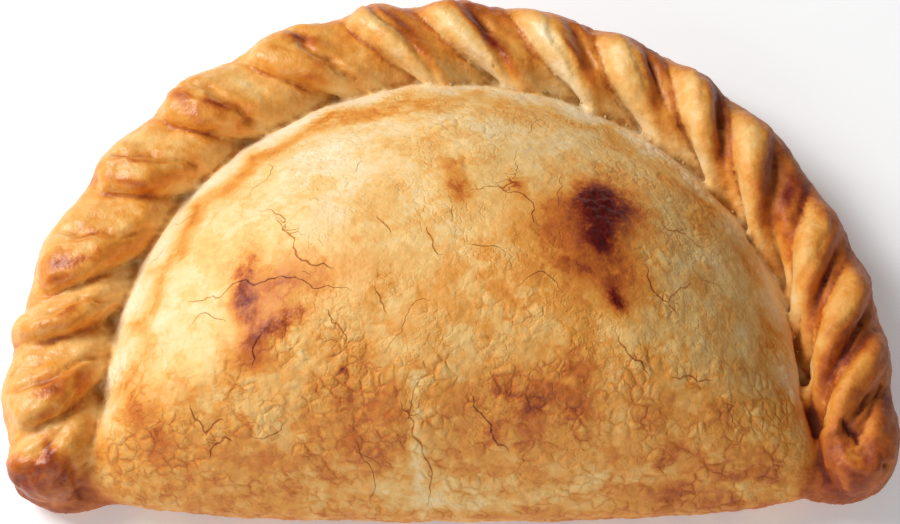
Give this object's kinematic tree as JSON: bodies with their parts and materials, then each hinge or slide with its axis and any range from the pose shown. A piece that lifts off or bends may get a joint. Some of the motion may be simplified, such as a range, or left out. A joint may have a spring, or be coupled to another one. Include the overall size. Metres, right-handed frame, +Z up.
{
  "type": "empanada",
  "caption": "Baked half-moon empanada with a domed golden-brown crust and a thick rope-crimped edge round its curved side.",
  "frame": {"origin": "middle of the part's box, on the flat underside", "axes": "+X to the right along the plain front fold, +Y to the crimped back, +Z up out of the crown"},
  "size_m": [0.1586, 0.1, 0.04],
  "materials": {
    "crust": "baked pastry, egg-washed, golden with browner patches"
  },
  "bodies": {
    "root": {"empanada": "crust"}
  },
  "joints": []
}
